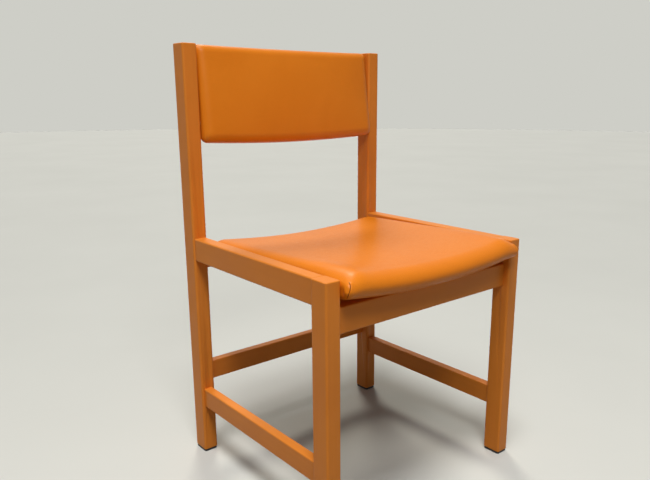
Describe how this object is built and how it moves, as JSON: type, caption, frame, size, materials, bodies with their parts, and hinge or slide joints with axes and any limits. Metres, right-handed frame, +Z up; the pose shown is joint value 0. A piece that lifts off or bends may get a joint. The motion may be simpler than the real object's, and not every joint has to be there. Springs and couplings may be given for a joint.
{
  "type": "upholstered wooden choir chair",
  "caption": "Armless wooden choir chair: dished seat pad between deep side rails, low stretchers, and a padded back panel leaning between straight posts.",
  "frame": {"origin": "on the floor, below the middle of the chair's bounding box", "axes": "+Z up, the sitter faces -Y, and +X points to the sitter's left"},
  "size_m": [0.48, 0.466, 0.81],
  "materials": {
    "painted_wood": "satin terracotta paint over beech, opaque, with rounded edges",
    "bare_wood": "unfinished turned beech dowel",
    "plywood": "raw moulded plywood",
    "leather": "smooth orange-tan leather with a fine grain and a soft sheen",
    "foam": "cut polyurethane foam",
    "lining_cloth": "black non-woven dust cover",
    "steel": "bright zinc-plated steel",
    "glide_plastic": "black hard plastic"
  },
  "bodies": {
    "root": {"front_leg_left": "painted_wood", "rear_post_left": "painted_wood", "side_rail_left": "painted_wood", "side_stretcher_left": "painted_wood", "seat_bearer_left": "painted_wood", "front_leg_right": "painted_wood", "rear_post_right": "painted_wood", "side_rail_right": "painted_wood", "side_stretcher_right": "painted_wood", "seat_bearer_right": "painted_wood", "front_apron": "painted_wood", "rear_rail": "painted_wood", "rear_stretcher": "painted_wood", "glide_front_left": "glide_plastic", "glide_nail_front_left": "steel", "glide_front_right": "glide_plastic", "glide_nail_front_right": "steel", "glide_rear_left": "glide_plastic", "glide_nail_rear_left": "steel", "glide_rear_right": "glide_plastic", "glide_nail_rear_right": "steel", "seat_board": "plywood", "seat_foam": "foam", "seat_cover": "leather", "seat_lining": "lining_cloth", "bearer_dowel_left_1": "bare_wood", "bearer_dowel_left_2": "bare_wood", "bearer_dowel_left_3": "bare_wood", "bearer_dowel_left_4": "bare_wood", "seat_screw_left_1": "steel", "seat_screw_left_2": "steel", "bearer_dowel_right_1": "bare_wood", "bearer_dowel_right_2": "bare_wood", "bearer_dowel_right_3": "bare_wood", "bearer_dowel_right_4": "bare_wood", "seat_screw_right_1": "steel", "seat_screw_right_2": "steel", "back_board": "plywood", "back_foam": "foam", "back_cover": "leather", "back_outer_panel": "leather", "back_dowel_left_1": "bare_wood", "back_dowel_left_2": "bare_wood", "back_dowel_right_1": "bare_wood", "back_dowel_right_2": "bare_wood"}
  },
  "joints": []
}
